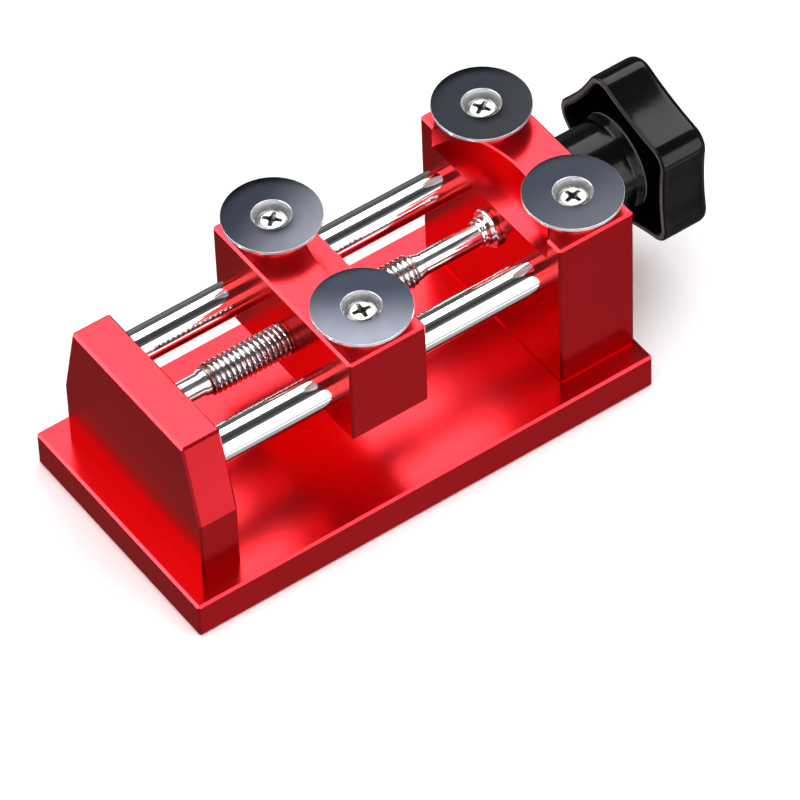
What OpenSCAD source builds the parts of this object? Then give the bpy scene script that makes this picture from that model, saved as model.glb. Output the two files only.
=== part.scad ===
// Bench vice for lifting the bezel off a watch case. Two jaws carry four round
// knife-edged discs; a lead screw with a lobed knob draws the moving jaw along two
// guide rods. Millimetres. +X runs along the screw towards the knob, +Z is up.
// The origin is the centre of the base plate's underside.

/* [Base plate] */
// length along the screw
base_l = 116.2; // [112:0.2:130]
// width across the rods
base_w = 60.3; // [56:0.1:70]
// thickness
base_t = 9; // [8:0.5:12]
// bevel on the outer edges of plate and blocks
edge_bevel = 0.5; // [0.3:0.1:0.8]

/* [End block] */
// thickness along the screw
end_t = 9.4; // [8.5:0.1:10.5]
// distance from the plate's edge to the block
end_inset = 5; // [3:0.5:6]
// width of the upright lower part
end_w = 49.8; // [46:0.2:54]
// width of the flat top
end_top_w = 40.2; // [40:0.2:44]
// height where the sides begin to lean in
end_kink_z = 25.6; // [20:0.2:28]
// height of the flat top
end_top_z = 45.3; // [43.5:0.1:48]

/* [Jaws] */
// thickness of each jaw along the screw
jaw_t = 19.2; // [18:0.1:20]
// width of each jaw
jaw_w = 49.4; // [47:0.1:56]
// height of both jaw tops
jaw_top_z = 49; // [48.5:0.1:52]
// height of the moving jaw's underside
jaw_low_z = 26.3; // [22:0.1:28]
// distance from the plate's edge to the fixed jaw
fixed_inset = 0.75; // [0:0.05:2]
// gap between the two jaw faces as shown
jaw_gap = 33.7; // [24:0.1:50]
// radius of the arc pocket that clears the watch case
pocket_r = 31; // [28:0.5:36]
// depth of the arc pocket at its middle
pocket_depth = 7.7; // [6:0.1:8.2]
// height of the pocket's floor
pocket_floor_z = 43.2; // [42.8:0.1:45]

/* [Guide rods and lead screw] */
// height of rods and screw
axis_z = 35.8; // [35.2:0.1:36.4]
// distance of each rod from the middle
rod_y = 16.2; // [15:0.1:18]
// rod diameter
rod_d = 8; // [7:0.1:8.6]
// outside diameter of the screw thread
thread_d = 7.5; // [7:0.1:8]
// thread pitch
thread_pitch = 1.25; // [1:0.05:1.5]
// diameter of the plain shank and journals
shank_d = 5.2; // [5:0.1:5.4]

/* [Discs and their screws] */
// diameter of a knife-edged disc
disc_d = 21.5; // [20:0.1:23]
// distance of each disc's centre from the middle
disc_y = 16.05; // [15:0.05:18]
// distance of each disc's centre behind the middle of its jaw
disc_set_back = 0.3; // [0:0.05:0.6]
// height of the discs' upper faces
disc_top_z = 53.8; // [53.4:0.1:54.6]
// height of the bright rim band
disc_band = 0.8; // [0.4:0.1:1.2]
// diameter of the counterbore
bore_d = 8.4; // [8:0.1:9]
// diameter of the screw head
head_d = 7.3; // [6.8:0.1:7.4]

/* [Knob] */
// radius over the lobes
knob_r = 20; // [19:0.1:21.5]
// radius at the valleys
knob_valley_r = 16.6; // [16.2:0.1:16.8]
// radius of a single lobe
lobe_r = 5; // [4.6:0.1:5.6]
// thickness of the lobed rim
knob_t = 11.9; // [10.5:0.1:13]
// diameter of the hub next to the jaw
hub_d = 20.4; // [19:0.1:21]
// diameter of the hub at the rim
hub_end_d = 22; // [21.8:0.1:23]

/* [Hidden] */
lobes = 5;
lobe_phase = 70.5;
knob_wall = 1.9;
run_fit = 0.05;
face_play = 0.1;

end_x0 = -base_l / 2 + end_inset;
end_x1 = end_x0 + end_t;
fixed_x1 = base_l / 2 - fixed_inset;
fixed_x0 = fixed_x1 - jaw_t;
fixed_cx = (fixed_x0 + fixed_x1) / 2;
fixed_disc_x = fixed_cx + disc_set_back;
moving_x1 = fixed_x0 - jaw_gap;
moving_x0 = moving_x1 - jaw_t;
moving_cx = (moving_x0 + moving_x1) / 2;
moving_disc_x = moving_cx - disc_set_back;

rod_r = rod_d / 2;
thread_r = thread_d / 2;
root_r = thread_r - 0.61 * thread_pitch;
shank_r = shank_d / 2;
journal_depth = 7;
journal_x0 = end_x1 - journal_depth + 0.3;
thread_x0 = end_x1 + 9.2;
thread_x1 = fixed_x0 - 20;
washer_t = 1;
washer_r = 4.5;
washer_x0 = fixed_x0 - face_play - washer_t;
collar_x0 = washer_x0 - 1.7;
collar_r = 3.35;
hub_washer_t = 0.5;
hub_x0 = fixed_x1 + face_play + hub_washer_t;
knob_x0 = hub_x0 + 13.1;
knob_x1 = knob_x0 + knob_t;
web_t = 4;
web_x = knob_x1 - web_t;
dish_depth = 2.6;
dish_x = knob_x1 - dish_depth;
sleeve_r = 5;
knob_screw_r = 1.5;
knob_screw_x0 = dish_x - 9;

disc_r = disc_d / 2;
disc_foot_r = 6.5;
disc_foot_h = 1.2;
head_h = 2.2;
head_top_z = disc_top_z - 1.25;
seat_z = head_top_z - head_h;
disc_screw_r = 2;
disc_screw_low_z = 41.4;
cross_turn = [12, 28, -8, 40];

jaw_screw_y = 13;
jaw_screw_r = 2.5;
jaw_screw_top = base_t + 13;
end_screw_y = 15;
end_screw_r = 2;
end_screw_top = base_t + 11;
sink = 0.4;

// a square with its four corners cut by c, centred, a by b
module bevelled(a, b, c) {
  polygon([
    [-a / 2 + c, -b / 2], [a / 2 - c, -b / 2], [a / 2, -b / 2 + c], [a / 2, b / 2 - c],
    [a / 2 - c, b / 2], [-a / 2 + c, b / 2], [-a / 2, b / 2 - c], [-a / 2, -b / 2 + c]
  ]);
}

// a block with every edge bevelled; its corner is at lo and its size is s
module bevel_block(lo, s, c) {
  translate([lo.x + s.x / 2, lo.y + s.y / 2, lo.z + s.z / 2])
    intersection() {
      linear_extrude(s.z, center = true)
        bevelled(s.x, s.y, c);
      rotate([90, 0, 0])
        linear_extrude(s.y, center = true)
          bevelled(s.x, s.z, c);
      rotate([90, 0, 90])
        linear_extrude(s.x, center = true)
          bevelled(s.y, s.z, c);
    }
}

// a round bar along X from x0 to x1
module x_bar(x0, x1, r, y = 0, z = axis_z) {
  translate([x0, y, z])
    rotate([0, 90, 0])
      cylinder(h = x1 - x0, r = r, $fn = 96);
}

// a solid of revolution about the screw axis; points are [x, radius]
module x_turned(points) {
  translate([0, 0, axis_z])
    rotate([0, 90, 0])
      rotate_extrude($fn = 96)
        polygon([for (p = points) [p[1], p[0]]]);
}

// a countersunk hole or screw from under the plate
module sunk_shape(x, y, r, top, floor_z) {
  translate([x, y, floor_z])
    cylinder(h = r, r1 = 2 * r, r2 = r, $fn = 64);
  translate([x, y, floor_z])
    cylinder(h = top - floor_z, r = r, $fn = 64);
}

// the recess below a sunk screw head
module sunk_mouth(x, y, r) {
  translate([x, y, -1])
    cylinder(h = 1 + sink + 0.001, r = 2 * r, $fn = 64);
}

module jaw_screw_shapes() {
  for (s = [-1, 1])
    sunk_shape(fixed_cx, s * jaw_screw_y, jaw_screw_r, jaw_screw_top, sink);
}

module end_screw_shapes() {
  for (s = [-1, 1])
    sunk_shape((end_x0 + end_x1) / 2, s * end_screw_y, end_screw_r, end_screw_top, sink);
}

module base_plate() {
  color([0.80, 0.07, 0.12])
    difference() {
      bevel_block([-base_l / 2, -base_w / 2, 0], [base_l, base_w, base_t], edge_bevel);
      jaw_screw_shapes();
      end_screw_shapes();
      for (s = [-1, 1]) {
        sunk_mouth(fixed_cx, s * jaw_screw_y, jaw_screw_r);
        sunk_mouth((end_x0 + end_x1) / 2, s * end_screw_y, end_screw_r);
      }
    }
}

// outline of the end block across the screw
module end_outline() {
  c = edge_bevel;
  polygon([
    [-end_w / 2, base_t], [end_w / 2, base_t], [end_w / 2, end_kink_z],
    [end_top_w / 2 + 0.3 * c, end_top_z - c], [end_top_w / 2 - c, end_top_z],
    [-end_top_w / 2 + c, end_top_z], [-end_top_w / 2 - 0.3 * c, end_top_z - c],
    [-end_w / 2, end_kink_z]
  ]);
}

// slab that bevels the end block's edges along one leaning side
module lean_slab(s) {
  lean = atan((end_w - end_top_w) / 2 / (end_top_z - end_kink_z));
  depth = 60;
  translate([(end_x0 + end_x1) / 2, s * end_w / 2, end_kink_z])
    rotate([s * lean, 0, 0])
      translate([0, -s * depth / 2, 0])
        linear_extrude(100, center = true)
          bevelled(end_t, depth, edge_bevel);
}

module end_block() {
  color([0.80, 0.07, 0.12])
    difference() {
      intersection() {
        translate([end_x0, 0, 0])
          rotate([90, 0, 90])
            linear_extrude(end_t)
              end_outline();
        bevel_block([end_x0, -end_w / 2, 0], [end_t, end_w, end_top_z], edge_bevel);
        lean_slab(1);
        lean_slab(-1);
      }
      x_bar(end_x1 - journal_depth, end_x1 + 1, shank_r + run_fit);
      for (s = [-1, 1])
        x_bar(end_x0 + 2.4, end_x1 + 1, rod_r, s * rod_y);
      end_screw_shapes();
    }
}

// arc pocket and its bevelled upper edge; face is the jaw face, dir points into the jaw
module arc_pocket(face, dir) {
  cx = face + dir * (pocket_depth - pocket_r);
  translate([cx, 0, pocket_floor_z])
    cylinder(h = 20, r = pocket_r, $fn = 180);
  translate([cx, 0, jaw_top_z - 0.35])
    cylinder(h = 1.35, r1 = pocket_r, r2 = pocket_r + 1.35, $fn = 180);
}

// tapped holes for the disc screws, with both discs centred on x = cx
module disc_screw_holes(cx) {
  for (s = [-1, 1])
    translate([cx, s * disc_y, disc_screw_low_z])
      cylinder(h = 20, r = disc_screw_r, $fn = 64);
}

module fixed_jaw() {
  color([0.86, 0.08, 0.13])
    difference() {
      bevel_block([fixed_x0, -jaw_w / 2, base_t],
                  [jaw_t, jaw_w, jaw_top_z - base_t], edge_bevel);
      arc_pocket(fixed_x0, 1);
      x_bar(fixed_x0 - 1, fixed_x1 + 1, shank_r + run_fit);
      for (s = [-1, 1])
        x_bar(fixed_x0 - 1, fixed_x1 - 4, rod_r, s * rod_y);
      disc_screw_holes(fixed_disc_x);
      jaw_screw_shapes();
    }
}

module moving_jaw() {
  color([0.86, 0.08, 0.13])
    difference() {
      bevel_block([moving_x0, -jaw_w / 2, jaw_low_z],
                  [jaw_t, jaw_w, jaw_top_z - jaw_low_z], edge_bevel);
      arc_pocket(moving_x1, -1);
      x_bar(moving_x0 - 1, moving_x1 + 1, thread_r + run_fit);
      for (s = [-1, 1])
        x_bar(moving_x0 - 1, moving_x1 + 1, rod_r + run_fit, s * rod_y);
      disc_screw_holes(moving_disc_x);
    }
}

// polished rod pressed into the end block and the fixed jaw
module guide_rod(s) {
  color([0.82, 0.83, 0.85])
    x_bar(end_x0 + 2.4, fixed_x1 - 4, rod_r, s * rod_y);
}

module guide_rod_front() {
  guide_rod(-1);
}

module guide_rod_rear() {
  guide_rod(1);
}

// ring profile that stands for the screw thread, as [x, radius] points
function thread_points(x0, x1) = [
  for (i = [0 : floor((x1 - x0) / thread_pitch) - 1])
    for (p = [[0, root_r], [0.12, root_r], [0.44, thread_r], [0.56, thread_r], [0.88, root_r]])
      [x0 + (i + p[0]) * thread_pitch, p[1]]
];

module lead_screw() {
  color([0.80, 0.81, 0.84])
    difference() {
      x_turned(concat(
        [[journal_x0, 0], [journal_x0, shank_r - 0.4], [journal_x0 + 0.4, shank_r],
         [thread_x0 - 1.4, shank_r], [thread_x0 - 0.7, root_r]],
        thread_points(thread_x0, thread_x1),
        [[thread_x1, root_r], [thread_x1 + 0.5, root_r], [thread_x1 + 2.2, shank_r],
         [collar_x0 - 0.8, shank_r], [collar_x0 - 0.8, shank_r + 0.35],
         [collar_x0 - 0.1, shank_r + 0.35], [collar_x0 - 0.1, shank_r],
         [collar_x0 + 0.3, shank_r], [collar_x0 + 0.3, collar_r],
         [washer_x0, collar_r], [washer_x0, shank_r],
         [dish_x, shank_r], [dish_x, 0]]
      ));
      x_bar(knob_screw_x0, dish_x + 1, knob_screw_r);
    }
}

// thin ring between the screw's collar and the inner face of the fixed jaw
module thrust_washer() {
  color([0.84, 0.85, 0.87])
    x_turned([
      [washer_x0, shank_r], [washer_x0, washer_r - 0.2], [washer_x0 + 0.2, washer_r],
      [washer_x0 + washer_t, washer_r], [washer_x0 + washer_t, shank_r]
    ]);
}

// thin ring between the outer face of the fixed jaw and the knob's hub
module hub_washer() {
  color([0.78, 0.79, 0.80])
    x_turned([
      [hub_x0 - hub_washer_t, shank_r], [hub_x0 - hub_washer_t, 7],
      [hub_x0, 7], [hub_x0, shank_r]
    ]);
}

// lobed outline moved inwards by g: round lobes joined by tangent hollows
module lobed(g) {
  half = 180 / lobes;
  lobe_c = knob_r - lobe_r;
  hollow_r = (lobe_c ^ 2 + knob_valley_r ^ 2 - 2 * lobe_c * knob_valley_r * cos(half)
    - lobe_r ^ 2) / (2 * (lobe_r + lobe_c * cos(half) - knob_valley_r));
  hollow_c = knob_valley_r + hollow_r;
  span = lobe_r + hollow_r;
  lobe_arc = 180 - acos((lobe_c ^ 2 + span ^ 2 - hollow_c ^ 2) / (2 * lobe_c * span));
  hollow_arc = acos((hollow_c ^ 2 + span ^ 2 - lobe_c ^ 2) / (2 * hollow_c * span));
  steps = 6;
  polygon([
    for (i = [0 : lobes - 1])
      let (a = lobe_phase + i * 360 / lobes, b = a + half)
        each concat(
          [for (k = [-steps : steps])
            let (t = a + k * lobe_arc / steps)
              lobe_c * [cos(a), sin(a)] + (lobe_r - g) * [cos(t), sin(t)]],
          [for (k = [-3 : 3])
            let (t = b - k * hollow_arc / 4)
              hollow_c * [cos(b), sin(b)] - (hollow_r + g) * [cos(t), sin(t)]]
        )
  ]);
}

// the lobed outline as a bar along X; angles are counted from +Y towards +Z
module lobed_bar(x0, x1, g) {
  translate([x0, 0, axis_z])
    rotate([90, 0, 90])
      linear_extrude(x1 - x0)
        lobed(g);
}

module knob() {
  hub_r = hub_d / 2;
  hub_end_r = hub_end_d / 2;
  color([0.05, 0.05, 0.055])
    difference() {
      union() {
        difference() {
          intersection() {
            lobed_bar(knob_x0, knob_x1, 0);
            x_turned([
              [knob_x0 - 1, 0], [knob_x0 - 1, knob_r + 1], [knob_x1 - 2.4, knob_r + 1],
              [knob_x1 - 0.8, knob_r - 0.6], [knob_x1, knob_r - 2.2], [knob_x1, 0]
            ]);
          }
          lobed_bar(knob_x0 - 1, web_x, knob_wall);
        }
        x_turned(concat(
          [[hub_x0, 0], [hub_x0, hub_r - 0.6], [hub_x0 + 0.6, hub_r], [knob_x0 - 2, hub_r]],
          [for (a = [10 : 10 : 60])
            [knob_x0 - 2 + 1.4 * sin(a), hub_r + 1.4 * (1 - cos(a))]],
          [[knob_x0 - 0.3, hub_end_r], [knob_x0, hub_end_r - 0.3],
           [web_x + 0.5, hub_end_r - 0.9], [web_x + 0.5, 0]]
        ));
      }
      x_bar(hub_x0 - 1, knob_x1 + 1, sleeve_r);
      x_bar(dish_x, knob_x1 + 1, 7.5);
    }
}

// metal sleeve moulded into the knob, gripping the end of the screw
module knob_sleeve() {
  color([0.74, 0.62, 0.36])
    x_turned([
      [hub_x0, shank_r], [hub_x0, sleeve_r], [dish_x, sleeve_r], [dish_x, shank_r]
    ]);
}

// screw that holds the knob on, in the dish of the knob's outer face
module knob_screw() {
  color([0.80, 0.80, 0.81])
    difference() {
      union() {
        x_bar(knob_screw_x0, dish_x + 0.5, knob_screw_r);
        x_turned([
          [dish_x, 0], [dish_x, 3.6], [dish_x + 1.2, 3.6], [dish_x + 1.7, 3.1],
          [dish_x + 2, 2.2], [dish_x + 2, 0]
        ]);
      }
      for (a = [0, 90])
        translate([dish_x + 2, 0, axis_z])
          rotate([a + 20, 0, 0])
            cube([2.4, 0.7, 3.4], center = true);
    }
}

// round disc: flat top, bright rim band, hollowed underside, narrow foot
module pry_disc(cx, s) {
  color([0.29, 0.31, 0.37])
    translate([cx, s * disc_y, 0])
      rotate_extrude($fn = 128)
        polygon([
          [disc_screw_r + run_fit, jaw_top_z], [disc_foot_r, jaw_top_z],
          [disc_foot_r, jaw_top_z + disc_foot_h],
          [disc_r - 0.15, disc_top_z - disc_band - 0.1], [disc_r, disc_top_z - disc_band],
          [disc_r, disc_top_z - 0.12], [disc_r - 0.12, disc_top_z],
          [bore_d / 2 + 0.25, disc_top_z], [bore_d / 2, disc_top_z - 0.25],
          [bore_d / 2, seat_z], [disc_screw_r + run_fit, seat_z]
        ]);
}

module pry_disc_fixed_front() {
  pry_disc(fixed_disc_x, -1);
}

module pry_disc_fixed_rear() {
  pry_disc(fixed_disc_x, 1);
}

module pry_disc_moving_front() {
  pry_disc(moving_disc_x, -1);
}

module pry_disc_moving_rear() {
  pry_disc(moving_disc_x, 1);
}

// pan-head screw with a cross recess turned by a degrees
module disc_screw(cx, s, a) {
  color([0.83, 0.83, 0.84])
    translate([cx, s * disc_y, 0])
      difference() {
        rotate_extrude($fn = 96)
          polygon([
            [0, disc_screw_low_z], [disc_screw_r, disc_screw_low_z],
            [disc_screw_r, seat_z], [head_d / 2 - 0.1, seat_z], [head_d / 2, seat_z + 0.1],
            [head_d / 2, seat_z + 1.2], [head_d / 2 - 0.3, seat_z + 1.7],
            [head_d / 2 - 0.95, seat_z + 2.05], [head_d / 2 - 2, head_top_z], [0, head_top_z]
          ]);
        for (b = [0, 90])
          translate([0, 0, head_top_z])
            rotate(a + b)
              cube([4.1, 0.85, 2.8], center = true);
      }
}

module disc_screw_fixed_front() {
  disc_screw(fixed_disc_x, -1, cross_turn[0]);
}

module disc_screw_fixed_rear() {
  disc_screw(fixed_disc_x, 1, cross_turn[1]);
}

module disc_screw_moving_front() {
  disc_screw(moving_disc_x, -1, cross_turn[2]);
}

module disc_screw_moving_rear() {
  disc_screw(moving_disc_x, 1, cross_turn[3]);
}

// socket-headed countersunk screws through the plate, as one group per block
module socketed(x, r, y) {
  for (s = [-1, 1])
    translate([x, s * y, sink - 1])
      cylinder(h = 1 + 0.9 * r, r = 0.62 * r * 2 / sqrt(3), $fn = 6);
}

module jaw_base_screws() {
  color([0.35, 0.35, 0.37])
    difference() {
      jaw_screw_shapes();
      socketed(fixed_cx, jaw_screw_r, jaw_screw_y);
    }
}

module end_base_screws() {
  color([0.35, 0.35, 0.37])
    difference() {
      end_screw_shapes();
      socketed((end_x0 + end_x1) / 2, end_screw_r, end_screw_y);
    }
}

base_plate();
end_block();
fixed_jaw();
moving_jaw();
guide_rod_front();
guide_rod_rear();
lead_screw();
thrust_washer();
hub_washer();
knob();
knob_sleeve();
knob_screw();
pry_disc_fixed_front();
pry_disc_fixed_rear();
pry_disc_moving_front();
pry_disc_moving_rear();
disc_screw_fixed_front();
disc_screw_fixed_rear();
disc_screw_moving_front();
disc_screw_moving_rear();
jaw_base_screws();
end_base_screws();
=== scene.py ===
"""Looks of the watch bezel vice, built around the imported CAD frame. Metres, same frame."""

import math

import bpy
import numpy as np
from mathutils import Matrix, Vector


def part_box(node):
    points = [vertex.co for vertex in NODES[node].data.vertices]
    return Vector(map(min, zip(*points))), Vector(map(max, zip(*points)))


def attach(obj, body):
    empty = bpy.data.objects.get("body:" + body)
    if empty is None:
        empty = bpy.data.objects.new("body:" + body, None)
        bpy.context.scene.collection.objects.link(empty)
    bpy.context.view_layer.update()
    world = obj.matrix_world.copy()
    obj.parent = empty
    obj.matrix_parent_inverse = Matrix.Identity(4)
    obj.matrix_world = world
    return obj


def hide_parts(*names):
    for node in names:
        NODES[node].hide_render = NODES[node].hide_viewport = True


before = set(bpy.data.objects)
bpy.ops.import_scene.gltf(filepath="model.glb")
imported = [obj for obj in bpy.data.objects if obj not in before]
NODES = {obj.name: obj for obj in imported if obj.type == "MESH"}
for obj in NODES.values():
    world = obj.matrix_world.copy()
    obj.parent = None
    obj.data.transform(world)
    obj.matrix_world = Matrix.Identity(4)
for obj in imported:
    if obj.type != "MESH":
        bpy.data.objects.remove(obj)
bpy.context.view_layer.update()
MM = 0.001
TAU = 2 * math.pi
EDGE_TURN = 0.12  # how far a rounded normal turns from the flat one where the edge mask is full (paler edges: wear and painted highlight)


# ---------------------------------------------------------------- shader helpers
class Shader:
    """A node material with short helpers for the nodes used here."""

    def __init__(self, name):
        self.mat = bpy.data.materials.new(name)
        self.mat.use_nodes = True
        self.tree = self.mat.node_tree
        self.tree.nodes.clear()
        self.out = self.tree.nodes.new("ShaderNodeOutputMaterial")
        self.bsdf = self.tree.nodes.new("ShaderNodeBsdfPrincipled")
        self.link(self.bsdf.outputs[0], self.out.inputs["Surface"])

    def link(self, a, b):
        self.tree.links.new(a, b)

    def put(self, socket, value):
        if hasattr(value, "is_linked") or hasattr(value, "links"):
            self.link(value, socket)
        else:
            socket.default_value = value

    def set(self, **values):
        names = {"color": "Base Color", "metal": "Metallic", "rough": "Roughness",
                 "ior": "IOR", "coat": "Coat Weight", "coat_rough": "Coat Roughness",
                 "coat_ior": "Coat IOR", "normal": "Normal", "coat_normal": "Coat Normal",
                 "spec": "Specular IOR Level", "tint": "Specular Tint"}
        for key, value in values.items():
            self.put(self.bsdf.inputs[names[key]], value)

    def coords(self, scale=(1, 1, 1), turn=(0, 0, 0)):
        tc = self.tree.nodes.new("ShaderNodeTexCoord")
        m = self.tree.nodes.new("ShaderNodeMapping")
        m.inputs["Scale"].default_value = scale
        m.inputs["Rotation"].default_value = turn
        self.link(tc.outputs["Object"], m.inputs["Vector"])
        return m.outputs["Vector"]

    def noise(self, vec, scale, detail=2.0, rough=0.5, distortion=0.0):
        n = self.tree.nodes.new("ShaderNodeTexNoise")
        self.link(vec, n.inputs["Vector"])
        n.inputs["Scale"].default_value = scale
        n.inputs["Detail"].default_value = detail
        n.inputs["Roughness"].default_value = rough
        n.inputs["Distortion"].default_value = distortion
        return n.outputs["Fac"]

    def math(self, operation, a, b=0.0):
        n = self.tree.nodes.new("ShaderNodeMath")
        n.operation = operation
        for socket, value in zip(n.inputs, (a, b)):
            self.put(socket, value)
        return n.outputs[0]

    def vector(self, operation, a, b=None):
        """A vector maths node of a socket and, where given, a socket or a constant."""
        n = self.tree.nodes.new("ShaderNodeVectorMath")
        n.operation = operation
        self.link(a, n.inputs[0])
        if b is not None:
            self.put(n.inputs[1], b)
        return n.outputs

    def ramp(self, value, low, high, to_low=0.0, to_high=1.0, smooth=False):
        n = self.tree.nodes.new("ShaderNodeMapRange")
        n.interpolation_type = "SMOOTHSTEP" if smooth else "LINEAR"
        self.put(n.inputs["Value"], value)
        for key, v in (("From Min", low), ("From Max", high), ("To Min", to_low), ("To Max", to_high)):
            self.put(n.inputs[key], v)
        return n.outputs["Result"]

    def mix(self, fac, a, b):
        n = self.tree.nodes.new("ShaderNodeMix")
        n.data_type = "RGBA"
        self.put(n.inputs["Factor"], fac)
        self.put(n.inputs[6], a if not isinstance(a, tuple) else (*a, 1.0))
        self.put(n.inputs[7], b if not isinstance(b, tuple) else (*b, 1.0))
        return n.outputs[2]

    def bump(self, height, distance, strength):
        n = self.tree.nodes.new("ShaderNodeBump")
        n.inputs["Distance"].default_value = distance
        n.inputs["Strength"].default_value = strength
        self.link(height, n.inputs["Height"])
        return n.outputs[0]

    def attribute(self, name):
        n = self.tree.nodes.new("ShaderNodeAttribute")
        n.attribute_name = name
        return n.outputs["Fac"]

    def radius(self):
        """Distance from the piece's own Z axis."""
        return self.vector("LENGTH", self.coords((1, 1, 0)))["Value"]

    def edges(self, radius):
        """1 near sharp outer edges, 0 on flat faces."""
        bevel = self.tree.nodes.new("ShaderNodeBevel")
        bevel.samples = 6
        bevel.inputs["Radius"].default_value = radius
        flat = self.tree.nodes.new("ShaderNodeNewGeometry")
        agree = self.vector("DOT_PRODUCT", bevel.outputs[0], flat.outputs["Normal"])["Value"]
        return self.ramp(self.math("SUBTRACT", 1.0, agree), 0.0, EDGE_TURN, smooth=True)


# ---------------------------------------------------------------- materials
def red_anodised(name, seed):
    """Satin red anodised aluminium: blasted grain, faint dye clouds, and paler edges that are partly
    wear and partly a painted highlight.
    """
    s = Shader(name)
    vec = s.vector("ADD", s.coords(), (seed, seed * 0.7, -seed))[0]
    cloud = s.noise(vec, 38, 2, 0.5)
    fine = s.noise(vec, 1300, 3, 0.6)
    grain = s.noise(vec, 6500, 2, 0.6)
    lines = s.noise(s.coords((0.03, 1.0, 1.0)), 3800, 2, 0.5)
    colour = s.mix(s.ramp(cloud, 0.3, 0.7), (0.575, 0.0100, 0.0170), (0.640, 0.0130, 0.0215))
    # paler edges: partly wear, partly a painted highlight along the sharp edges
    edge = s.edges(0.0003)
    pale_sheen = s.math("MULTIPLY", edge, s.ramp(fine, 0.38, 0.60, 0.10, 1.0))
    colour = s.mix(s.math("MULTIPLY", pale_sheen, 0.30), colour, (0.90, 0.10, 0.14))
    rough = s.math("ADD", s.ramp(cloud, 0.3, 0.7, 0.215, 0.250),
                   s.ramp(fine, 0.3, 0.7, -0.012, 0.012))
    rough = s.math("SUBTRACT", rough, s.math("MULTIPLY", edge, 0.04))
    height = s.math("ADD", grain, s.math("MULTIPLY", lines, 0.5))
    normal = s.bump(height, 0.0000035, 0.5)
    s.set(color=colour, metal=0.97, rough=rough, normal=normal, coat_normal=normal,
          coat=0.25, coat_rough=0.20, coat_ior=1.5, spec=0.3, tint=(1.0, 0.12, 0.14, 1.0))
    return s.mat


def chrome_rod(name):
    """Ground and chromed rod: faint rings round it, and long hairline marks."""
    s = Shader(name)
    rings = s.noise(s.coords((1.0, 0.02, 0.02)), 5200, 2, 0.6)
    hair = s.noise(s.coords((0.02, 1.0, 1.0)), 2600, 2, 0.5)
    smear = s.noise(s.coords(), 130, 3, 0.6)
    rough = s.math("ADD", s.ramp(smear, 0.35, 0.7, 0.05, 0.085), s.ramp(rings, 0.4, 0.7, 0.0, 0.03))
    height = s.math("ADD", rings, s.math("MULTIPLY", hair, 0.5))
    s.set(color=s.mix(s.ramp(smear, 0.3, 0.7), (0.80, 0.805, 0.82), (0.88, 0.88, 0.885)),
          metal=1.0, rough=rough, normal=s.bump(height, 0.0000022, 0.6))
    return s.mat


def turned_steel(name):
    """Plated turned steel, with shade painted darker down in the grooves marked by the 'groove'
    attribute.
    """
    rough, dark = 0.12, 0.88
    s = Shader(name)
    groove = s.attribute("groove")
    rings = s.noise(s.coords((1.0, 0.03, 0.03)), 4200, 2, 0.6)
    smear = s.noise(s.coords(), 350, 3, 0.6)
    # painted shade: the thread's roots painted dark, varied by the smear noise
    painted_root_shade = s.math("MULTIPLY", s.ramp(groove, 0.18, 0.66, 0, 1, True),
                   s.ramp(smear, 0.3, 0.7, 0.55, 1.0))
    colour = s.mix(s.math("MULTIPLY", painted_root_shade, dark), (0.86, 0.86, 0.875), (0.045, 0.038, 0.038))
    r = s.math("ADD", s.ramp(smear, 0.35, 0.7, rough - 0.03, rough + 0.05),
               s.math("MULTIPLY", painted_root_shade, 0.22))
    s.set(color=colour, metal=1.0, rough=r, normal=s.bump(rings, 0.0000025, 0.6))
    return s.mat


def disc_face(name, dark, sheen_level, toward):
    """Dark blue-grey polished face: very fine turning rings, one side painted paler as a painted
    reflection.

    dark and the pale side's level scale the tones of the two sides, set per disc as painted shade and
    painted reflection; toward points to the pale one.
    """
    s = Shader(name)
    rings = s.math("SINE", s.math("MULTIPLY", s.radius(), TAU / 0.00011))
    wobble = s.noise(s.coords(), 420, 3, 0.6)
    smear = s.noise(s.coords((1, 1, 0)), 120, 3, 0.55, 0.4)
    hair = s.noise(s.coords((1.0, 0.03, 1.0), (0, 0, 0.8)), 1900, 1, 0.5)
    hair = s.ramp(hair, 0.72, 0.80, 0, 1, True)
    # painted reflection: one side of the face painted paler, by a fixed direction in the disc's own
    # coordinates
    side = s.vector("DOT_PRODUCT", s.coords(), toward + (0.0,))["Value"]
    pale = s.ramp(side, -0.006, 0.013, 0, 1, True)
    pale = s.math("MULTIPLY", pale, s.ramp(smear, 0.25, 0.7, 0.75, 1.0))
    # tones of the dark side and of the painted-reflection side, each scaled by its level for this disc
    low, high, pale_sheen = (tuple(level * c for c in tone) for level, tone in (
        (dark, (0.0145, 0.0172, 0.0265)), (dark, (0.0190, 0.0225, 0.0335)),
        (sheen_level, (0.078, 0.081, 0.096))))
    colour = s.mix(s.ramp(smear, 0.3, 0.72), low, high)
    colour = s.mix(pale, colour, pale_sheen)
    colour = s.mix(s.math("MULTIPLY", hair, 0.06), colour, (0.30, 0.32, 0.36))
    rough = s.math("ADD", s.ramp(smear, 0.3, 0.7, 0.12, 0.17), s.ramp(wobble, 0.3, 0.7, -0.01, 0.015))
    height = s.math("ADD", s.math("MULTIPLY", rings, 0.5), wobble)
    s.set(color=colour, metal=0.95, rough=rough, normal=s.bump(height, 0.0000008, 0.5))
    return s.mat


def ground_edge(name):
    """Bright ground steel: the rim and the foot of the discs."""
    s = Shader(name)
    along = s.noise(s.coords((0.05, 0.05, 1.0)), 7000, 2, 0.6)
    smear = s.noise(s.coords(), 300, 3)
    s.set(color=s.mix(s.ramp(smear, 0.3, 0.7), (0.78, 0.79, 0.81), (0.92, 0.92, 0.94)),
          metal=0.6, rough=s.ramp(smear, 0.3, 0.7, 0.12, 0.20),
          normal=s.bump(along, 0.000003, 0.6))
    return s.mat


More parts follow.
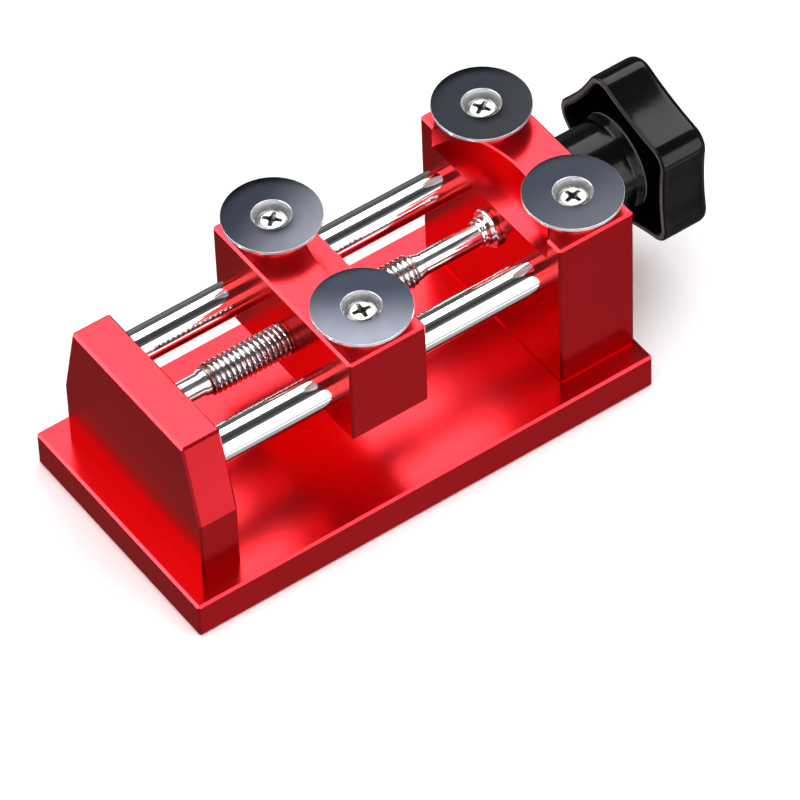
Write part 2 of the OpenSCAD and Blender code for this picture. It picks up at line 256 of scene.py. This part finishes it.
def nickel_screw(name):
    """Nickel-plated screw head with turning rings and shade painted darker in the cross recess."""
    s = Shader(name)
    groove = s.attribute("groove")
    r = s.radius()
    rings = s.math("SINE", s.math("MULTIPLY", r, TAU / 0.00016))
    smear = s.noise(s.coords(), 700, 3, 0.6)
    # painted shade: the cross recess painted dark by its depth
    dark = s.ramp(groove, 0.30, 0.85, 0, 1, True)
    colour = s.mix(s.ramp(smear, 0.3, 0.7), (0.25, 0.248, 0.24), (0.40, 0.395, 0.385))
    colour = s.mix(s.math("MULTIPLY", dark, 0.92), colour, (0.045, 0.030, 0.020))
    rough = s.math("ADD", s.ramp(smear, 0.3, 0.7, 0.16, 0.26), s.math("MULTIPLY", dark, 0.2))
    height = s.math("ADD", s.math("MULTIPLY", rings, 0.35), smear)
    s.set(color=colour, metal=1.0, rough=rough, normal=s.bump(height, 0.000004, 0.5))
    return s.mat


def black_plastic(name):
    """Gloss black moulded plastic with soft orange peel, faint smears and edges painted paler as a
    highlight.
    """
    s = Shader(name)
    peel = s.noise(s.coords(), 420, 2, 0.5)
    fine = s.noise(s.coords(), 4200, 2, 0.6)
    smear = s.noise(s.coords(), 75, 4, 0.6, 0.4)
    # painted highlight: sharp edges painted slightly paler grey
    edge = s.edges(0.0006)
    colour = s.mix(s.ramp(smear, 0.3, 0.7), (0.0018, 0.0018, 0.0020), (0.0032, 0.0032, 0.0035))
    colour = s.mix(s.math("MULTIPLY", edge, 0.30), colour, (0.09, 0.09, 0.092))
    # painted highlight: the rim's edge and the hub's flare, marked in the knob mesh, painted pale grey
    # and broken up by the smear noise
    knob_sheen = s.math("MULTIPLY", s.attribute("knob_sheen"), s.ramp(smear, 0.3, 0.6, 0.55, 1.0))
    colour = s.mix(knob_sheen, colour, (0.26, 0.26, 0.265))
    rough = s.math("ADD", s.ramp(smear, 0.3, 0.75, 0.11, 0.17), s.ramp(fine, 0.3, 0.7, -0.015, 0.02))
    height = s.math("ADD", s.math("MULTIPLY", peel, 3.0), s.math("MULTIPLY", fine, 0.4))
    s.set(color=colour, metal=0.0, rough=rough, ior=1.5, spec=0.16,
          normal=s.bump(height, 0.000008, 0.5))
    return s.mat


def plain_metal(name, low, high, rough_low, rough_high, scale=600.0, metal=1.0):
    """Turned small metal part: two close colours and fine marks."""
    s = Shader(name)
    smear = s.noise(s.coords(), scale, 3, 0.6)
    marks = s.noise(s.coords((1.0, 0.05, 0.05)), 5000, 2, 0.6)
    s.set(color=s.mix(s.ramp(smear, 0.3, 0.7), low, high), metal=metal,
          rough=s.ramp(smear, 0.3, 0.7, rough_low, rough_high),
          normal=s.bump(marks, 0.000003, 0.6))
    return s.mat


RED = {node: red_anodised("red_" + node, 0.13 * i) for i, node in
       enumerate(("base_plate", "end_block", "fixed_jaw", "moving_jaw"), 1)}
ROD = chrome_rod("chrome_rod")
SCREW = turned_steel("screw_steel")
# per disc: level of the dark side (painted shade), level of the pale side (painted reflection),
# direction of the pale side
FACES = {place: disc_face("disc_face_" + place, *look) for place, look in (
    ("fixed_front", (0.58, 0.42, (-0.10, -1.0))), ("fixed_rear", (0.32, 0.11, (0.25, -1.0))),
    ("moving_front", (0.66, 1.40, (-0.56, -0.83))), ("moving_rear", (0.36, 0.92, (0.35, -0.94))))}
RIM = ground_edge("disc_rim")
BORE = plain_metal("disc_bore", (0.68, 0.68, 0.69), (0.86, 0.86, 0.87), 0.20, 0.30, 400.0, 0.55)
NICKEL = nickel_screw("nickel_screw")
BLACK = black_plastic("knob_black")
WASHER = plain_metal("washer_steel", (0.70, 0.71, 0.73), (0.86, 0.86, 0.87), 0.12, 0.22)
BRASS = plain_metal("sleeve_brass", (0.62, 0.44, 0.16), (0.74, 0.56, 0.24), 0.20, 0.34)
DARK_SCREW = plain_metal("black_screw", (0.035, 0.035, 0.038), (0.07, 0.07, 0.072), 0.30, 0.45)

for node, mat in {**RED, "guide_rod_front": ROD, "guide_rod_rear": ROD,
                  "thrust_washer": WASHER, "hub_washer": WASHER, "knob_sleeve": BRASS,
                  "knob_screw": NICKEL, "jaw_base_screws": DARK_SCREW,
                  "end_base_screws": DARK_SCREW}.items():
    for slot in NODES[node].material_slots:
        slot.material = mat


# ---------------------------------------------------------------- mesh helpers
def make(name, verts, faces, mats, face_mats=None, sharp=35, place=(0, 0, 0), groove=None,
         mark="groove"):
    """A closed mesh object, smooth except over sharp edges."""
    me = bpy.data.meshes.new(name)
    me.from_pydata([tuple(v) for v in verts], [], faces)
    me.polygons.foreach_set("use_smooth", [True] * len(me.polygons))
    for m in mats:
        me.materials.append(m)
    if face_mats is not None:
        me.polygons.foreach_set("material_index", face_mats)
    me.set_sharp_from_angle(angle=math.radians(sharp))
    if groove is not None:
        me.attributes.new(mark, "FLOAT", "POINT").data.foreach_set("value", groove)
    me.validate()
    me.update()
    ob = bpy.data.objects.new(name, me)
    ob.location = place
    bpy.context.scene.collection.objects.link(ob)
    return ob


def ring_faces(rings, around, closed, flip=False):
    """Quads between consecutive rings of equal vertex count."""
    faces = []
    last = rings if closed else rings - 1
    for j in range(last):
        a, b = j * around, ((j + 1) % rings) * around
        for i in range(around):
            k = (i + 1) % around
            quad = (a + i, b + i, b + k, a + k)
            faces.append(quad[::-1] if flip else quad)
    return faces


def rounded(points, radii, steps=4, closed=True):
    """A profile with its corners rounded; points are (along, radius) pairs in mm."""
    out = []
    n = len(points)
    for i, (p, r) in enumerate(zip(points, radii)):
        if r == 0 or (not closed and i in (0, n - 1)):
            out.append(tuple(p))
            continue
        p = Vector(p)
        a = (Vector(points[i - 1]) - p)
        b = (Vector(points[(i + 1) % n]) - p)
        cut = min(r, a.length * 0.49, b.length * 0.49)
        a, b = p + a.normalized() * cut, p + b.normalized() * cut
        for k in range(steps + 1):
            t = k / steps
            out.append(tuple((1 - t) ** 2 * a + 2 * t * (1 - t) * p + t * t * b))
    return out


def lathe_z(name, profile, mats, seg, place, face_mat):
    """Solid of revolution about Z from a closed (height, radius) profile in mm."""
    verts, faces, kinds = [], [], []
    for h, r in profile:
        for i in range(seg):
            t = TAU * i / seg
            verts.append((r * MM * math.cos(t), r * MM * math.sin(t), h * MM))
    faces = ring_faces(len(profile), seg, True)
    for f in faces:
        mid = sum((Vector(verts[v]) for v in f), Vector()) / 4
        kinds.append(face_mat(mid))
    return make(name, verts, faces, mats, kinds, place=place)


# ---------------------------------------------------------------- discs
JAW_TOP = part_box("fixed_jaw")[1].z
DISC_LOW, DISC_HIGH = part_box("pry_disc_fixed_front")
DISC_R = (DISC_HIGH.x - DISC_LOW.x) / 2 / MM
DISC_H = (DISC_HIGH.z - DISC_LOW.z) / MM
# counterbore radius, height of its floor, foot radius, screw hole radius
BORE_R, SEAT, FOOT_R, SHANK_HOLE = 4.2, 1.35, 6.5, 2.05
BEVEL_IN, BEVEL_OUT = 0.12, 0.06  # widths of the bright bevels round the dark face
disc_profile = rounded(
    [(0, SHANK_HOLE), (0, FOOT_R), (1.2, FOOT_R), (DISC_H - 0.9, DISC_R - 0.15),
     (DISC_H - 0.8, DISC_R), (DISC_H, DISC_R), (DISC_H, BORE_R), (SEAT, BORE_R), (SEAT, SHANK_HOLE)],
    [0.1, 0.15, 0.3, 0.05, 0.05, 0.10, 0.22, 0.2, 0.05])


def disc_kind(mid):
    """Material of a disc's face by its middle: 0 dark top, 1 rim and foot, 2 counterbore."""
    near = 0.02
    r = math.hypot(mid.x, mid.y) / MM
    if mid.z / MM > DISC_H - near and BORE_R + BEVEL_IN < r < DISC_R - BEVEL_OUT:
        return 0
    return 2 if r < BORE_R + near else 1


for place in ("fixed_front", "fixed_rear", "moving_front", "moving_rear"):
    lo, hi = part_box("pry_disc_" + place)
    centre = ((lo.x + hi.x) / 2, (lo.y + hi.y) / 2, lo.z)
    disc = lathe_z("disc_" + place, disc_profile, [FACES[place], RIM, BORE], 192, centre, disc_kind)
    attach(disc, "disc_" + place)
    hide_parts("pry_disc_" + place)


# ---------------------------------------------------------------- screws in the discs
def screw_head(name, centre, low, seat, top, turn, mats):
    """Pan-head screw with a tapered cross recess, as a fine polar grid."""
    head_r, shank_r, recess, around = 3.65, 2.0, 1.35, 192
    fine_r, first_coarse_r, corner = 2.6, 2.68, 0.05
    radii = list(np.linspace(0.0, fine_r, 44)[1:])
    radii += list(np.linspace(first_coarse_r, head_r - corner, 16))
    height = (top - seat) / MM
    verts, groove = [], []

    def dome(r):
        u = min(1.0, r / head_r)
        return height - 0.10 * u ** 2 - 0.85 * max(0.0, (u - 0.55) / 0.45) ** 2.6

    def smooth(a, b, v):
        t = min(1.0, max(0.0, (v - a) / (b - a)))
        return t * t * (3 - 2 * t)

    def cross(x, y):
        """Depth of the recess at (x, y), 0 to 1: four tapered arms and a round pit."""
        arm_half, narrowing, arm_start, arm_end = 0.44, 0.05, 1.80, 2.15
        best = 0.0
        for p, q in ((x, y), (y, x)):
            half = arm_half - narrowing * abs(p)
            side = 1 - smooth(half - 0.07, half + 0.09, abs(q))
            end = 1 - smooth(arm_start, arm_end, abs(p))
            best = max(best, side * end * (1.0 - 0.33 * abs(p)))
        centre_pit = 1 - smooth(0.55, 1.0, math.hypot(x, y))
        return max(best, 0.95 * centre_pit)

    verts.append((0, 0, (dome(0) - recess) * MM))
    groove.append(1.0)
    for r in radii:
        for i in range(around):
            t = TAU * i / around
            x, y = r * math.cos(t), r * math.sin(t)
            c, s = math.cos(turn), math.sin(turn)
            deep = cross(c * x + s * y, -s * x + c * y)
            verts.append((x * MM, y * MM, (dome(r) - recess * deep) * MM))
            groove.append(deep)
    side = [(head_r, dome(head_r) - corner), (head_r, 0.10), (head_r - 0.10, 0.0),
            (shank_r, 0.0), (shank_r, (low - seat) / MM + 0.3), (shank_r - 0.3, (low - seat) / MM)]
    for r, h in side:
        for i in range(around):
            t = TAU * i / around
            verts.append((r * MM * math.cos(t), r * MM * math.sin(t), h * MM))
            groove.append(0.0)
    rings = len(radii) + len(side)
    faces = [(0, 1 + i, 1 + (i + 1) % around) for i in range(around)]
    for quad in ring_faces(rings, around, False):
        faces.append(tuple(v + 1 for v in quad))
    end = 1 + (rings - 1) * around
    verts.append((0, 0, low - seat))
    groove.append(0.0)
    faces += [(len(verts) - 1, end + (i + 1) % around, end + i) for i in range(around)]
    return make(name, verts, faces, mats, None, 40, centre, groove)


SEAT_Z = JAW_TOP + SEAT * MM
for place, turn, body in (("fixed_front", 12, "base"), ("fixed_rear", 28, "base"),
                          ("moving_front", -8, "jaw"), ("moving_rear", 40, "jaw")):
    lo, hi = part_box("disc_screw_" + place)
    piece = screw_head("screw_" + place, ((lo.x + hi.x) / 2, (lo.y + hi.y) / 2, SEAT_Z),
                       lo.z, SEAT_Z, hi.z, math.radians(turn), [NICKEL])
    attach(piece, body)
    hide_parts("disc_screw_" + place)


# ---------------------------------------------------------------- lead screw
# millimetres: thread, shank, collar, then the ring beside it and the tapped end under the knob
PITCH, THREAD_R, SHANK_R, COLLAR_R = 1.25, 3.75, 2.6, 3.35
RING_R = SHANK_R + 0.38
TAP_R, TAP_DEPTH, TINY = 1.5, 9, 0.001
THREAD_START, THREAD_STOP, COLLAR_T = 9.2, 20, 1.7  # from end block, from jaw, along the screw
ROOT_R = THREAD_R - 0.61 * PITCH
AXIS_Z = (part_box("lead_screw")[0].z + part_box("lead_screw")[1].z) / 2
screw_lo, screw_hi = (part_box("lead_screw")[i].x / MM for i in (0, 1))
end_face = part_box("end_block")[1].x / MM
jaw_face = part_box("fixed_jaw")[0].x / MM
THREAD_0, THREAD_1 = end_face + THREAD_START, jaw_face - THREAD_STOP
washer_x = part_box("thrust_washer")[0].x / MM
collar_x = washer_x - COLLAR_T


def helix_radius(x, t):
    """Radius of the right-hand thread at x (mm) and angle t about +X."""
    u = (x / PITCH - t / TAU) % 1.0
    d = abs(u - 0.5) * 2
    wave = min(1.0, max(0.0, (0.86 - d) / 0.70))
    wave = wave * wave * (3 - 2 * wave) * 0.35 + wave * 0.65  # slightly rounded flanks
    lead_in = min(1.0, max(0.0, (x - THREAD_0) / 1.1))
    run_out = min(1.0, max(0.0, (THREAD_1 - x) / 0.9))
    return ROOT_R + (THREAD_R - ROOT_R) * wave * min(lead_in, run_out)


# rings of (x, radius) in millimetres; None is a ring of the thread
around = 96
outline = [(screw_lo, TINY), (screw_lo, SHANK_R - 0.4), (screw_lo + 0.4, SHANK_R),
           (THREAD_0 - 1.4, SHANK_R), (THREAD_0 - 0.7, ROOT_R), (THREAD_0 - 0.05, ROOT_R)]
steps = int((THREAD_1 - THREAD_0) / PITCH * 14)  # 14 rings of points a turn
outline += [(THREAD_0 + (THREAD_1 - THREAD_0) * k / steps, None) for k in range(steps + 1)]
outline += [(THREAD_1 + 0.4, ROOT_R), (THREAD_1 + 0.55, ROOT_R), (THREAD_1 + 2.1, SHANK_R + 0.02),
            (THREAD_1 + 2.3, SHANK_R), (collar_x - 0.85, SHANK_R), (collar_x - 0.8, SHANK_R + 0.08),
            (collar_x - 0.72, RING_R - 0.05), (collar_x - 0.62, RING_R),
            (collar_x - 0.2, RING_R), (collar_x - 0.1, RING_R - 0.08),
            (collar_x - 0.05, SHANK_R), (collar_x + 0.28, SHANK_R), (collar_x + 0.3, COLLAR_R - 0.12),
            (collar_x + 0.42, COLLAR_R), (washer_x - 0.12, COLLAR_R), (washer_x, COLLAR_R - 0.12),
            (washer_x, SHANK_R), (screw_hi - 0.3, SHANK_R), (screw_hi, SHANK_R - 0.3),
            (screw_hi, TAP_R), (screw_hi - TAP_DEPTH, TAP_R), (screw_hi - TAP_DEPTH, TINY)]
verts, groove = [], []
for x, r in outline:
    for i in range(around):
        t = TAU * i / around
        rr = helix_radius(x, t) if r is None else r
        verts.append((x * MM, rr * MM * math.cos(t), rr * MM * math.sin(t)))
        groove.append((THREAD_R - rr) / (THREAD_R - ROOT_R) if r is None else 0.0)
faces = ring_faces(len(outline), around, False, flip=True)
faces.append(tuple(range(around)))
faces.append(tuple(reversed(range((len(outline) - 1) * around, len(outline) * around))))
lead = make("lead_screw_turned", verts, faces, [SCREW], None, 32, (0, 0, AXIS_Z), groove)
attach(lead, "screw")
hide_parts("lead_screw")


# ---------------------------------------------------------------- knob
LOBES, PHASE, KNOB_R, VALLEY_R, LOBE_R = 5, math.radians(70.5), 20.0, 16.6, 5.0
# hub: radius, bore, length and flare; rim: wall, rounding, web and dish depths; dish radii
HUB_R, HUB_BORE_R, HUB_L, FLARE_R = 10.2, 5.0, 13.1, 11.0
WALL, ROUNDING, WEB_T, DISH_T = 1.9, 2.3, 4, 2.6
DISH_RIM_R, DISH_R = 8.1, 7.5
# radius where the web starts, its inset where it ends, height of the rim's half-round
WEB_R, INNER, RIM_H = 10.9, 2.5, 0.5
# strength of the painted highlight on the rim's edge and on the hub's flare
RIM_SHEEN, FLARE_SHEEN = 0.7, 0.6
POINTS_A_LOBE = 48
LOBE_C = KNOB_R - LOBE_R
HALF = math.pi / LOBES
HOLLOW_R = ((LOBE_C ** 2 + VALLEY_R ** 2 - 2 * LOBE_C * VALLEY_R * math.cos(HALF) - LOBE_R ** 2)
            / (2 * (LOBE_R + LOBE_C * math.cos(HALF) - VALLEY_R)))
HOLLOW_C = VALLEY_R + HOLLOW_R
TANGENT = (np.array([HOLLOW_C * math.cos(HALF) - LOBE_C, HOLLOW_C * math.sin(HALF)])
           / (LOBE_R + HOLLOW_R))
hub_x0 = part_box("hub_washer")[1].x / MM
knob_x1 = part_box("knob")[1].x / MM
knob_x0 = hub_x0 + HUB_L


def lobed(t, g):
    """Radius of the lobed outline, moved inwards by g, at angle t."""
    d = abs((t - PHASE + HALF) % (2 * HALF) - HALF)
    touch = np.array([LOBE_C, 0]) + TANGENT * (LOBE_R - g)
    if d <= math.atan2(touch[1], touch[0]):
        inside = (LOBE_R - g) ** 2 - (LOBE_C * math.sin(d)) ** 2
        return LOBE_C * math.cos(d) + math.sqrt(max(0.0, inside))
    e = HALF - d
    outside = (HOLLOW_R + g) ** 2 - (HOLLOW_C * math.sin(e)) ** 2
    return HOLLOW_C * math.cos(e) - math.sqrt(max(0.0, outside))


def arc(x, g, r, start, stop, n):
    """Lobed rings along a rounding: centre (x, g), radius r, angles in degrees."""
    return [("lobed", x + r * math.sin(math.radians(a)), g - r * math.cos(math.radians(a)))
            for a in np.linspace(start, stop, n)]


web = knob_x1 - WEB_T
dish = knob_x1 - DISH_T
hub = rounded([(hub_x0, HUB_BORE_R), (hub_x0, HUB_R), (knob_x0 - 1.9, HUB_R),
               (knob_x0 - 0.75, FLARE_R - 0.02), (knob_x0, FLARE_R), (knob_x0 + 0.1, FLARE_R - 0.4),
               (web, HUB_R - 0.1)],
              [0, 0.6, 1.2, 0.4, 0.3, 0.3, 1.2], 6, closed=False)
# each ring has a kind, an x and a number: a radius where round, an inset where lobed, and
# otherwise the share of the way across the web (mixed) or across the outer face (front)
rings = [("round", x, r) for x, r in hub[:-1]]
rings += [("round", web - 0.35, HUB_R), ("round", web, WEB_R)]
rings += [("mixed", web, k) for k in (0.3, 0.6, 0.85)]
rings += [("lobed", web, INNER), ("lobed", web - 0.15, 2.06), ("lobed", web - RIM_H, WALL)]
rings += [("lobed", x, WALL) for x in np.linspace(web - 1.5, knob_x0 + RIM_H, 4)]
rings += [("lobed", knob_x0 + RIM_H * (1 - math.sin(a)), WALL / 2 * (1 + math.cos(a)))
          for a in np.linspace(0.2, math.pi - 0.2, 9)]
rings += [("lobed", knob_x0 + RIM_H, 0.0)]
rings += [("lobed", x, 0.0) for x in np.linspace(knob_x0 + 1.6, knob_x1 - 2.6, 5)]
rings += arc(knob_x1 - ROUNDING, ROUNDING, ROUNDING, 10, 90, 9)
rings += [("front", knob_x1, k) for k in (0.25, 0.5, 0.8)]
rings += [("round", knob_x1, DISH_RIM_R), ("round", knob_x1 - 0.06, DISH_R + 0.35),
          ("round", knob_x1 - 0.25, DISH_R + 0.1), ("round", dish + 0.25, DISH_R),
          ("round", dish + 0.05, DISH_R - 0.1), ("round", dish, DISH_R - 0.4),
          ("round", dish, HUB_BORE_R)]
# the knob's painted highlight: strength per vertex, on the rim's half-round and on the hub's flare
verts, knob_sheen = [], []
around = LOBES * POINTS_A_LOBE
for kind, x, v in rings:
    on_rim = kind == "lobed" and x < knob_x0 + 0.2 and 0.4 < v < 1.3
    on_flare = kind == "round" and knob_x0 - 0.5 < x < knob_x0 + 0.08
    knob_sheen += [RIM_SHEEN if on_rim else FLARE_SHEEN if on_flare else 0.0] * around
    for i in range(around):
        t = TAU * i / around
        if kind == "round":
            r = v
        elif kind == "lobed":
            r = lobed(t, v)
        elif kind == "mixed":
            r = WEB_R + (lobed(t, INNER) - WEB_R) * v
        else:
            r = lobed(t, ROUNDING) + (DISH_RIM_R - lobed(t, ROUNDING)) * v
        verts.append((x * MM, r * MM * math.cos(t), r * MM * math.sin(t)))
knob = make("star_knob", verts, ring_faces(len(rings), around, True, flip=True), [BLACK], None, 40,
            (0, 0, AXIS_Z), knob_sheen, "knob_sheen")
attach(knob, "screw")
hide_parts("knob")


# ---------------------------------------------------------------- floor, lights, camera
FLOOR_GAP = 0.00005  # keeps the floor clear of the base's underside
FLOOR_HALF = 12.0


def pale_floor():
    """Plain matt floor just under the base, left out of the chrome's reflections."""
    s = Shader("pale_floor")
    s.set(color=(0.92, 0.92, 0.925, 1.0), rough=0.9, spec=0.0)
    me = bpy.data.meshes.new("floor")
    corners = [(x * FLOOR_HALF, y * FLOOR_HALF, 0) for x, y in ((-1, -1), (1, -1), (1, 1), (-1, 1))]
    me.from_pydata(corners, [], [(0, 1, 2, 3)])
    me.materials.append(s.mat)
    ob = bpy.data.objects.new("floor", me)
    bpy.context.scene.collection.objects.link(ob)
    ob.location.z = -FLOOR_GAP
    ob.visible_glossy = False


def softbox(name, at, toward, size, power, glossy=True, diffuse=True):
    """A rectangular area light of (length, width) that faces a point; length lies along X."""
    light = bpy.data.lights.new(name, "AREA")
    light.shape = "RECTANGLE"
    light.size, light.size_y = size
    light.energy = power
    ob = bpy.data.objects.new(name, light)
    ob.location = at
    z = (Vector(at) - Vector(toward)).normalized()
    x = Vector((0, 1, 0)) - z * z.y if abs(z.x) > 0.8 else Vector((1, 0, 0)) - z * z.x
    x.normalize()
    ob.rotation_euler = Matrix((x, z.cross(x), z)).transposed().to_euler()
    ob.visible_camera = False
    ob.visible_glossy = glossy
    ob.visible_diffuse = diffuse
    bpy.context.scene.collection.objects.link(ob)


def radiance(level, size):
    """Power of a rectangle that shines at this level."""
    return level * math.pi * size[0] * size[1]


def studio_world():
    """Dim surroundings: paler towards the low front and the left, darkest at the back.

    A brighter band low at the front lights the end block's leaning face.
    """
    world = bpy.data.worlds.new("studio")
    world.use_nodes = True
    tree = world.node_tree
    where = tree.nodes.new("ShaderNodeTexCoord")
    split = tree.nodes.new("ShaderNodeSeparateXYZ")
    tree.links.new(where.outputs["Generated"], split.inputs[0])

    def span(source, low, high, value):
        n = tree.nodes.new("ShaderNodeMapRange")
        n.interpolation_type = "SMOOTHSTEP"
        for key, v in (("From Min", low), ("From Max", high), ("To Min", 0.0), ("To Max", value)):
            n.inputs[key].default_value = v
        tree.links.new(source, n.inputs["Value"])
        return n.outputs["Result"]

    def calc(operation, a, b):
        n = tree.nodes.new("ShaderNodeMath")
        n.operation = operation
        for socket, value in zip(n.inputs, (a, b)):
            if isinstance(value, float):
                socket.default_value = value
            else:
                tree.links.new(value, socket)
        return n.outputs[0]

    front = calc("MULTIPLY", span(split.outputs["Y"], 0.1, -0.5, 1.0),
                 span(split.outputs["Z"], 0.35, -0.05, 0.20))
    low_front = calc("MULTIPLY", span(split.outputs["Y"], -0.60, -0.78, 1.0),
                     span(split.outputs["Z"], -0.62, -0.44, 0.95))
    front = calc("ADD", front, low_front)
    left = calc("MULTIPLY", span(split.outputs["X"], 0.1, -0.5, 1.0),
                span(split.outputs["Z"], 0.3, -0.1, 0.17))
    clutter = tree.nodes.new("ShaderNodeTexNoise")
    clutter.inputs["Scale"].default_value = 4.5
    clutter.inputs["Detail"].default_value = 1.5
    tree.links.new(where.outputs["Generated"], clutter.inputs["Vector"])
    uneven = calc("ADD", span(clutter.outputs["Fac"], 0.36, 0.64, 1.3), 0.45)
    level = calc("MULTIPLY", calc("ADD", calc("ADD", front, left), 0.12), uneven)
    back = tree.nodes["Background"]
    back.inputs["Color"].default_value = (1.0, 0.985, 0.99, 1.0)
    tree.links.new(level, back.inputs["Strength"])
    bpy.context.scene.world = world


pale_floor()
studio_world()
AIM = Vector((0.0, 0.0, AXIS_Z))


def around_x(angle, distance, along):
    """A point at an angle and distance round the screw's axis, and along it."""
    a = math.radians(angle)
    return AIM + Vector((along, distance * math.cos(a), distance * math.sin(a)))


def panel(name, angle, distance, along, size, level):
    """A softbox parallel to the rods, seen in gloss only, at an angle from +Y towards +Z."""
    softbox(name, around_x(angle, distance, along), around_x(angle, 0.0, along), size,
            radiance(level, size), diffuse=False)


panel("softbox_back", 66, 0.72, 0.56, (1.1, 0.52), 5.6)
panel("softbox_front", 163.5, 0.80, 0.56, (1.1, 0.73), 3.0)
panel("softbox_back_left", 66, 0.72, -0.29, (0.6, 0.52), 2.0)
panel("softbox_front_left", 163.5, 0.80, -0.29, (0.6, 0.73), 1.1)
left = (1.3, 0.34)
softbox("softbox_left", AIM + 0.9 * Vector((-0.86, 0.33, 0.36)), AIM, left,
        radiance(8.0, left), diffuse=False)
top = (2.4, 2.4)
softbox("fill_top", (0.1, -0.1, 1.9), (0.1, -0.1, 0.0), top, radiance(3.7, top), glossy=False)

SENSOR, LENS = 36.0, 311.7222  # mm: a long lens, about 1.5 m away
camera = bpy.data.cameras.new("camera")
camera.sensor_width = SENSOR
camera.lens = LENS
camera.clip_start, camera.clip_end = 0.05, 50.0
view = bpy.data.objects.new("camera", camera)
bpy.context.scene.collection.objects.link(view)
azimuth, elevation, roll = math.radians(33.765), math.radians(47.951), math.radians(-2.3688)
forward = Vector((math.sin(azimuth) * math.cos(elevation), math.cos(azimuth) * math.cos(elevation),
                  -math.sin(elevation)))
right = Vector((math.cos(azimuth), -math.sin(azimuth), 0.0))
up = right.cross(forward)
right, up = (math.cos(roll) * right + math.sin(roll) * up,
             -math.sin(roll) * right + math.cos(roll) * up)
view.matrix_world = Matrix((right, up, -forward)).transposed().to_4x4()
view.location = (-0.53290, -0.81763, 1.08848)
bpy.context.scene.camera = view
bpy.context.scene.view_settings.view_transform = "Standard"
